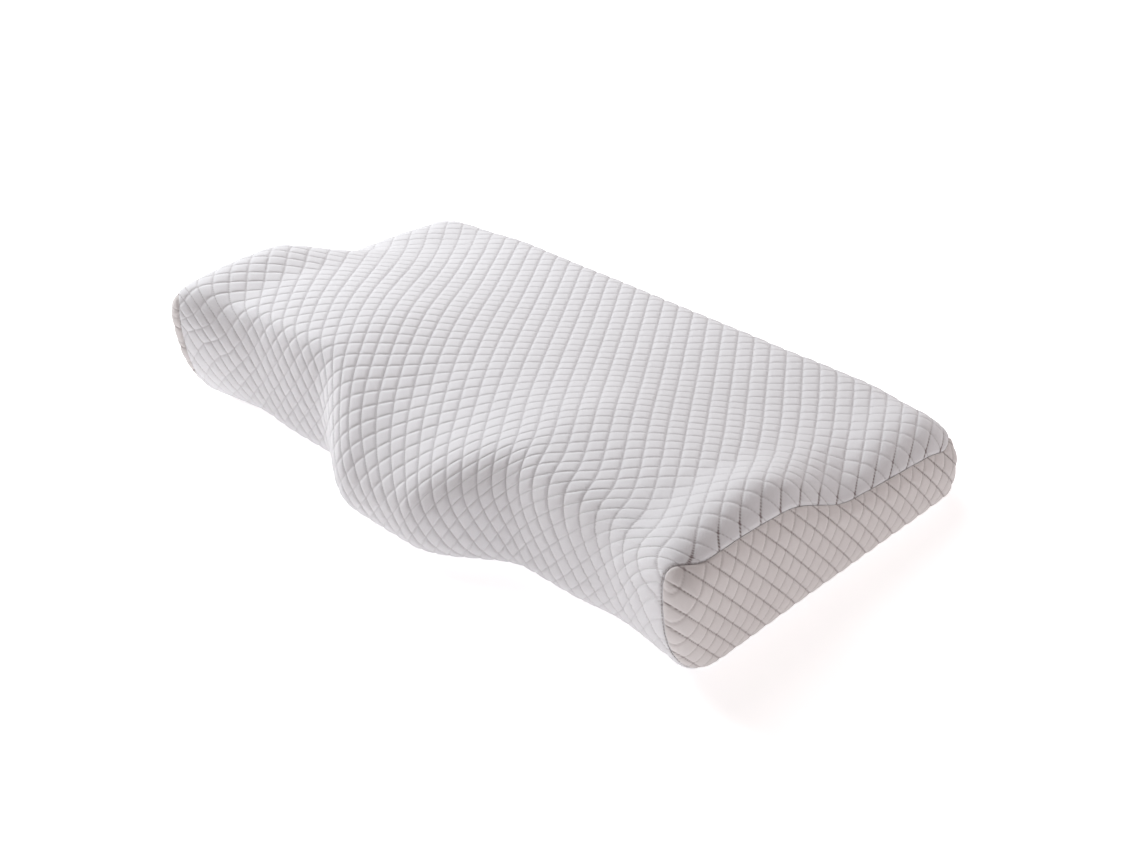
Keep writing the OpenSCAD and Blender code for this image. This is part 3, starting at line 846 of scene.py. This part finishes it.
# ----------------------------------------------------- underside, liner, core
def build_cover_bottom():
    along, across, step = 150, 96, 3
    t = np.linspace(-1, 1, along + 1)
    a = (0.75 * t + 0.25 * np.sin(t * math.pi / 2))[:, None]
    s = 1 - (1 - FRONT_SEAM_S - 0.004) * share_steps(3 * across)[None, 1:]
    face = skin(a * (seam_at(s, False) - SEAM_GAP), s, False)
    first = hem(a * (seam_at(1.0, False) - SEAM_GAP), -1)
    base = even(np.concatenate([first, face], axis=1), across)
    n = normals(base)
    i, j = np.meshgrid(np.arange(along + 1), np.arange(across + 1), indexing="ij")
    edge = np.minimum(np.minimum(i, along - i) * 3.9, np.minimum(j, across - j) * 4.2)
    outer = base + n * edge_roll(base, edge)[..., None]
    inner = base - n * (COVER_THICKNESS - 0.3)

    def diagonal(i, j):
        return (i + j) % 2 == 0

    uv = np.stack([i / CELL_NODES, j / CELL_NODES], -1)
    made = panel("cover_bottom_knit", outer, inner, step, uv, diagonal)
    place_piece(made, "under", "underside_knit", "pillow", "cover_bottom")


def closed_skin(depth, along, across, flip=False):
    """Points and faces of the pillow's whole face at one depth."""
    t = np.sin(np.linspace(-math.pi / 2, math.pi / 2, along + 1))
    x = (HALF * (0.3 * t + 0.7 * np.sin(t * math.pi / 2)))[:, None]
    s = share_steps(across)[None, :]
    upper, lower = skin(x, s, True, depth), skin(x, s, False, depth)
    count = (along + 1) * (across + 1)
    i, j = np.meshgrid(np.arange(along), np.arange(across), indexing="ij")
    wide = across + 1
    quad = np.stack([i * wide + j, (i + 1) * wide + j, (i + 1) * wide + j + 1, i * wide + j + 1], -1)
    top = quad.reshape(-1, 4)
    bottom = top[:, ::-1] + count
    faces = np.concatenate([top, bottom])
    if flip:
        faces = faces[:, ::-1]
    return np.concatenate([upper.reshape(-1, 3), lower.reshape(-1, 3)]), faces


def build_core():
    points, faces = closed_skin(CORE_OUT, 130, 90)
    points = points + 0.25 * ripple(points, 12, 45.0)[:, None] * np.array([0.0, 0.0, 0.3])
    made = merge(new_object("foam_core_block", points, faces.tolist()), 1e-6)
    place_piece(made, "foam", "foam", "pillow", "foam_core")


def build_liner():
    out_points, out_faces = closed_skin(LINER_OUT, 110, 76)
    in_points, in_faces = closed_skin(LINER_IN, 110, 76, True)
    points = np.concatenate([out_points, in_points])
    faces = np.concatenate([out_faces, in_faces + len(out_points)])
    made = merge(new_object("core_liner_case", points, faces.tolist()), 1e-6)
    place_piece(made, "liner", "liner_knit", "pillow", "core_liner")


# --------------------------------------------------------------------- seams
STITCH_PITCH = 3.1
STITCH_LENGTH = 2.5
STITCH_RADIUS = 0.32
STITCH_SIDES = 6
STITCH_RINGS = 6


def stitches(name, path, up, closed):
    """A row of short bent stitches along a path, each dipping into the cloth at both ends."""
    if closed:
        path = np.concatenate([path, path[:1]])
        up = np.concatenate([up, up[:1]])
    step = np.linalg.norm(np.diff(path, axis=0), axis=1)
    reach = np.concatenate([[0], np.cumsum(step)])
    count = int(reach[-1] / STITCH_PITCH)
    pitch = reach[-1] / count

    def at(values, where):
        return np.stack([np.interp(where, reach, values[:, k]) for k in range(3)], -1)

    points, faces = [], []
    turn = np.linspace(0, 2 * math.pi, STITCH_SIDES, endpoint=False)
    for k in range(count):
        where = (k + 0.5) * pitch + np.linspace(-0.5, 0.5, STITCH_RINGS) * STITCH_LENGTH
        share = np.abs(np.linspace(-1, 1, STITCH_RINGS))
        middle, lift = at(path, where), at(up, where)
        lift /= np.linalg.norm(lift, axis=1, keepdims=True)
        middle = middle - lift * (0.75 * share**3)[:, None]
        ahead = np.gradient(middle, axis=0)
        ahead /= np.linalg.norm(ahead, axis=1, keepdims=True)
        side = np.cross(ahead, lift)
        side /= np.linalg.norm(side, axis=1, keepdims=True)
        over = np.cross(side, ahead)
        radius = STITCH_RADIUS * np.sqrt(1 - 0.75 * share**4)
        start = len(points) * STITCH_SIDES * STITCH_RINGS
        ring = (
            middle[:, None]
            + radius[:, None, None]
            * (np.cos(turn)[None, :, None] * side[:, None] + np.sin(turn)[None, :, None] * over[:, None])
        )
        points.append(ring.reshape(-1, 3))
        for r in range(STITCH_RINGS - 1):
            for m in range(STITCH_SIDES):
                a, b = start + r * STITCH_SIDES + m, start + r * STITCH_SIDES + (m + 1) % STITCH_SIDES
                faces.append([a, b, b + STITCH_SIDES, a + STITCH_SIDES])
        faces.append([start + m for m in range(STITCH_SIDES)][::-1])
        last = start + (STITCH_RINGS - 1) * STITCH_SIDES
        faces.append([last + m for m in range(STITCH_SIDES)])
    return new_object(name, np.concatenate(points), faces)


def build_seams():
    s = share_steps(400)
    loop_s = np.concatenate([s, s[-2:0:-1]])
    over = np.arange(len(loop_s)) <= 400
    for name, node, sign in (("left", "end_seam_left", -1), ("right", "end_seam_right", 1)):
        x = sign * seam_at(loop_s, over)
        path = skin(x, loop_s, over)
        outward = skin(x, loop_s, over, -1.0) - path
        outward[:, 0] += sign * 0.6
        outward /= np.linalg.norm(outward, axis=1, keepdims=True)
        made = stitches("end_seam_%s_stitches" % name, path - outward * 1.0, outward, True)
        place_piece(made, "thread", "seam_thread", "pillow", node)
    x = np.linspace(-1, 1, 400) * (seam_at(FRONT_SEAM_S, False) - 2.0)
    path = skin(x, FRONT_SEAM_S, False)
    outward = skin(x, FRONT_SEAM_S, False, -1.0) - path
    outward /= np.linalg.norm(outward, axis=1, keepdims=True)
    made = stitches("front_seam_stitches", path - outward * 1.0, outward, False)
    place_piece(made, "thread", "seam_thread", "pillow", "front_seam")


# ----------------------------------------------------------------------- zip
def mm_box(node):
    low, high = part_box(node)
    return np.array(low) / MM, np.array(high) / MM


def build_coils():
    """Each coil is one filament wound in flattened loops, whose heads all but meet at the middle."""
    middle = (mm_box("zip_coil_upper")[0][2] + mm_box("zip_coil_lower")[1][2]) / 2
    for name, node, sign in (("upper", "zip_coil_upper", 1), ("lower", "zip_coil_lower", -1)):
        low, high = mm_box(node)
        wire, pitch, around = 0.3, 1.55, 14
        turns = int((high[0] - low[0] - 2 * wire) / pitch)
        angle = np.linspace(0, turns * 2 * math.pi, turns * around + 1)
        y = (low[1] + high[1]) / 2 + (0.5 * (high[1] - low[1]) - wire) * np.sin(angle)
        reach_in, reach_out = 0.5 + wire, (high[2] - low[2]) / 2 + abs((low[2] + high[2]) / 2 - middle) - wire
        z = middle + sign * (
            (reach_in + reach_out) / 2 - (reach_out - reach_in) / 2 * np.cos(angle + (0.5 if sign > 0 else 3.6))
        )
        x = low[0] + wire + (angle / (2 * math.pi)) * pitch + 0.28 * pitch * np.sin(2 * angle) * 0.5
        path = np.stack([x, y, z], -1)
        ahead = np.gradient(path, axis=0)
        ahead /= np.linalg.norm(ahead, axis=1, keepdims=True)
        side = np.cross(ahead, np.array([1.0, 0, 0]))
        side /= np.linalg.norm(side, axis=1, keepdims=True)
        over = np.cross(side, ahead)
        turn = np.linspace(0, 2 * math.pi, 6, endpoint=False)
        rings = path[:, None] + wire * (
            np.cos(turn)[None, :, None] * side[:, None] + np.sin(turn)[None, :, None] * over[:, None]
        )
        count = len(path)
        i, m = np.meshgrid(np.arange(count - 1), np.arange(6), indexing="ij")
        m1 = (m + 1) % 6
        faces = np.stack([i * 6 + m, i * 6 + m1, (i + 1) * 6 + m1, (i + 1) * 6 + m], -1)
        faces = faces.reshape(-1, 4).tolist()
        faces += [list(range(5, -1, -1)), [(count - 1) * 6 + k for k in range(6)]]
        made = new_object("zip_coil_%s_winding" % name, rings.reshape(-1, 3), faces)
        place_piece(made, "coil", "zip_coil", "pillow", node)


def build_tapes():
    """A woven tape behind each side of the cover, from under the cloth out to its coil."""
    for name, node, sign in (("upper", "zip_tape_upper", 1), ("lower", "zip_tape_lower", -1)):
        low, high = mm_box(node)
        x = np.linspace(low[0], high[0], 140)
        thick = 0.8
        s = 1 - np.linspace(0, 1, 400) * 0.2
        run = skin(0.0, s, sign > 0, COVER_THICKNESS + 0.35)[:, 1:]
        edge = hem(0.0, sign)
        start = np.array([[edge[1] - COVER_THICKNESS, edge[2] - sign * 0.2]])
        run = run[(sign * (run[:, 1] - start[0, 1]) > 0.5) & (run[:, 0] < start[0, 0] + 0.3)]
        coil_edge = BACK_DEPTH - 3.5
        near = mm_box("zip_coil_" + name)[1 if sign > 0 else 0][2] + sign * 0.3
        line = np.concatenate([[[coil_edge, near]], start + [[0, 0.3 * sign]], run])
        line = even(np.concatenate([np.zeros((len(line), 1)), line], 1)[None], 60)[0][:, 1:]
        length = np.concatenate([[0], np.cumsum(np.linalg.norm(np.diff(line, axis=0), axis=1))])
        line = line[length < 16.0]
        along = np.gradient(line, axis=0)
        along /= np.linalg.norm(along, axis=1, keepdims=True)
        inward = np.stack([along[:, 1], -along[:, 0]], -1)
        if inward[-1] @ (np.array([MIDDLE_Y, 35.0]) - line[-1]) < 0:
            inward = -inward
        section = np.concatenate([line, (line + inward * thick)[::-1]])
        m, wide = len(x), len(section)
        points = np.concatenate([np.full((1, wide, 1), 1.0) * x[:, None, None], np.broadcast_to(section, (m, wide, 2))], 2)
        i, j = np.meshgrid(np.arange(m - 1), np.arange(wide), indexing="ij")
        j1 = (j + 1) % wide
        faces = np.stack([i * wide + j, (i + 1) * wide + j, (i + 1) * wide + j1, i * wide + j1], -1)
        faces = faces.reshape(-1, 4).tolist()
        faces += [list(range(wide)), [(m - 1) * wide + k for k in range(wide - 1, -1, -1)]]
        made = new_object("zip_tape_%s_weave" % name, points.reshape(-1, 3), faces, smooth_faces=False)
        place_piece(made, "tape", "zip_tape", "pillow", node)


def eased_copy(name, node, body, bevel, slot_name="zip_metal"):
    """The CAD part with its edges eased."""
    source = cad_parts[node]
    made = bpy.data.objects.new(name, source.data.copy())
    bpy.context.scene.collection.objects.link(made)
    merge(made, 1e-6)
    ease = made.modifiers.new("ease", "BEVEL")
    ease.width = bevel * MM
    ease.segments = 3
    ease.limit_method = "ANGLE"
    ease.angle_limit = math.radians(30)
    for face in made.data.polygons:
        face.use_smooth = True
    place_piece(made, "metal", slot_name, body, node)
    return made


build_cover_bottom()
build_core()
build_liner()
build_seams()
build_coils()
build_tapes()
eased_copy("zip_slider_body", "zip_slider", "slider", 0.3)
eased_copy("zip_pull_tab", "zip_pull", "pull", 0.22)
eased_copy("zip_top_stops_crimp", "zip_top_stops", "pillow", 0.12)
eased_copy("zip_bottom_stop_crimp", "zip_bottom_stop", "pillow", 0.12)


# --------------------------------------------------------------------- stage
def build_floor():
    size, y_wall = 4.0, 3.0
    mesh = bpy.data.meshes.new("floor")
    corners = [(-size, -size, 0), (size, -size, 0), (size, size, 0), (-size, size, 0)]
    mesh.from_pydata([(x, y, -0.0004) for x, y, _ in corners], [], [(0, 1, 2, 3)])
    floor = bpy.data.objects.new("floor", mesh)
    bpy.context.scene.collection.objects.link(floor)
    mesh.materials.append(floor_material("floor_white"))


def area_light(name, place, target, size, power, colour):
    data = bpy.data.lights.new(name, "AREA")
    data.shape = "DISK"
    data.size = size
    data.energy = power
    data.color = colour
    lamp = bpy.data.objects.new(name, data)
    lamp.location = place
    lamp.rotation_euler = (Vector(target) - Vector(place)).to_track_quat("-Z", "Y").to_euler()
    bpy.context.scene.collection.objects.link(lamp)


def build_world(colour, strength):
    world = bpy.data.worlds.new("studio")
    world.use_nodes = True
    ground = world.node_tree.nodes["Background"]
    ground.inputs["Color"].default_value = (*colour, 1.0)
    ground.inputs["Strength"].default_value = strength
    bpy.context.scene.world = world


def build_camera():
    right = Vector((0.70281, 0.70934, -0.05381)).normalized()
    ahead = Vector((-0.61865, 0.57210, -0.53850)).normalized()
    up = right.cross(ahead)
    turn = Matrix((right, up, -ahead)).transposed().to_4x4()
    data = bpy.data.cameras.new("camera")
    data.sensor_width = 36.0
    data.lens = 52.1
    data.clip_start = 0.01
    data.clip_end = 50.0
    camera = bpy.data.objects.new("camera", data)
    camera.matrix_world = Matrix.Translation((0.85759, -0.77064, 0.75282)) @ turn
    bpy.context.scene.collection.objects.link(camera)
    bpy.context.scene.camera = camera


build_floor()
build_world((1.0, 0.90, 0.88), 0.37)
area_light("key", (-1.4, -0.02, 1.15), (0, 0, 0.05), 1.1, 27.0, (0.95, 0.985, 1.0))
area_light("top", (-0.9, 0.3, 2.0), (0, 0, 0), 1.6, 15.0, (0.95, 0.985, 1.0))
area_light("side", (1.2, 1.1, 0.45), (0.25, 0.05, 0.05), 1.0, 3.0, (1.0, 0.90, 0.87))
build_camera()
bpy.context.scene.view_settings.view_transform = "Standard"
